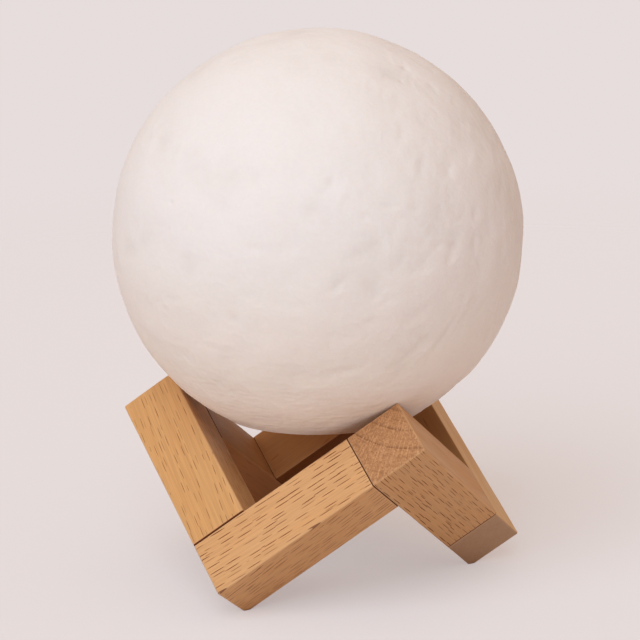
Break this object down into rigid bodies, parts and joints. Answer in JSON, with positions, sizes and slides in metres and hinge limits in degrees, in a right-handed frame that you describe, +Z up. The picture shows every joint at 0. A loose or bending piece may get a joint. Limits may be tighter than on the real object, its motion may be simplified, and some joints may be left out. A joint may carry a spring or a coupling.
{
  "type": "moon lamp",
  "caption": "Small moon lamp: a hollow cratered globe with a twist-lock light unit underneath, resting on a triangular stand of square wooden bars.",
  "frame": {"origin": "on the floor, on the vertical axis of the moon and the stand", "axes": "+Z up; the lamp is seen from -Y in its usual view; one foot points along +X and one prong along -X"},
  "size_m": [0.1014, 0.1014, 0.1364],
  "materials": {
    "beech": "satin",
    "dowel_wood": "matte",
    "moon_print": "matte",
    "white_plastic": "matte",
    "cover_plastic": "fine matte",
    "zinc_steel": "bright",
    "plated_steel": "bright",
    "circuit_board": "gloss",
    "black_plastic": "matte",
    "clear_plastic": "clear",
    "battery_foil": "satin",
    "foam": "matte",
    "wire_skin": "satin",
    "white_board": "gloss",
    "led_package": "gloss",
    "button_metal": "polished"
  },
  "bodies": {
    "stand": {"foot_bar_front": "beech", "foot_bar_right": "beech", "foot_bar_rear": "beech", "prong_bar_front": "beech", "prong_bar_rear": "beech", "prong_bar_left": "beech", "joint_dowels": "dowel_wood"},
    "moon": {"moon_shell": "moon_print", "collar_ring": "white_plastic"},
    "base_unit": {"base_cup": "white_plastic", "base_cover": "cover_plastic", "cover_screws": "zinc_steel", "control_board": "circuit_board", "board_screws": "zinc_steel", "board_parts": "black_plastic", "tact_switch": "black_plastic", "socket_shell": "plated_steel", "socket_tongue": "black_plastic", "indicator_lens": "clear_plastic", "battery_cell": "battery_foil", "battery_pad": "foam", "battery_wires": "wire_skin", "led_board": "white_board", "led_chips": "led_package", "led_screws": "zinc_steel", "led_wires": "wire_skin"},
    "button": {"power_button": "button_metal", "switch_plunger": "black_plastic"}
  },
  "joints": [
    {"name": "moon_lift", "type": "slide", "parent": "stand", "child": "moon", "axis": [0, 0, 1], "range_m": [0, 0.06]},
    {"name": "base_twist", "type": "hinge", "parent": "moon", "child": "base_unit", "pos_m": [0, 0, 0.04139], "axis": [0, 0, 1], "range_deg": [0, 40]},
    {"name": "button_press", "type": "slide", "parent": "base_unit", "child": "button", "axis": [0, 0, 1], "range_m": [0, 0.0005], "stiffness_N_per_m": 1000, "springref_m": -0.0003}
  ]
}
